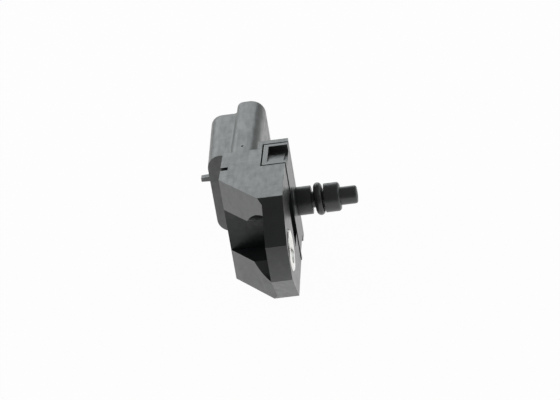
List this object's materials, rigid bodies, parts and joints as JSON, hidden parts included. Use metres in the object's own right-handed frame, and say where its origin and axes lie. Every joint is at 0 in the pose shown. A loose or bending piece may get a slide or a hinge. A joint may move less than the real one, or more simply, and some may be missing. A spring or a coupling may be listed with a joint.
{
  "type": "pressure sensor",
  "caption": "Manifold pressure sensor: flanged plastic housing with a bush for one bolt, a nozzle with a sealing ring, and a keyed connector socket at the far end.",
  "frame": {"origin": "on the nozzle's axis, in the plane of the mounting face", "axes": "+X along the nozzle, away from the mounting face; +Y towards the connector's mouth; +Z across the width, towards the connector's key"},
  "size_m": [0.0486, 0.0847, 0.032],
  "materials": {
    "housing_plastic": "satin glass-filled moulded plastic, black",
    "carrier_plastic": "satin moulded plastic, black",
    "seal_rubber": "moulded rubber, black",
    "adhesive": "cured silicone bead, dark grey",
    "bush_steel": "zinc-plated steel",
    "terminal_metal": "tinned copper alloy",
    "cap_metal": "drawn stainless steel",
    "board_laminate": "solder mask, green",
    "cell_plastic": "premoulded package, dark grey",
    "pedestal_glass": "clear glass",
    "silicon": "polished silicon, dark grey",
    "gel": "soft silicone gel",
    "chip_epoxy": "moulded epoxy, black",
    "capacitor_ceramic": "fired ceramic, tan",
    "sintered_bronze": "sintered bronze"
  },
  "bodies": {
    "root": {"housing": "housing_plastic", "port_carrier": "carrier_plastic", "port_o_ring": "seal_rubber", "carrier_gasket": "seal_rubber", "damping_filter": "sintered_bronze", "rear_cover": "carrier_plastic", "rear_cover_seal": "adhesive", "mounting_bush": "bush_steel", "supply_terminal": "terminal_metal", "signal_terminal": "terminal_metal", "ground_terminal": "terminal_metal", "circuit_board": "board_laminate", "cell_case": "cell_plastic", "cell_cap": "cap_metal", "cell_seal": "seal_rubber", "glass_pedestal": "pedestal_glass", "sensor_die": "silicon", "protective_gel": "gel", "evaluation_chip": "chip_epoxy", "supply_capacitor": "capacitor_ceramic", "signal_capacitor": "capacitor_ceramic", "filter_capacitor": "capacitor_ceramic"}
  },
  "joints": []
}
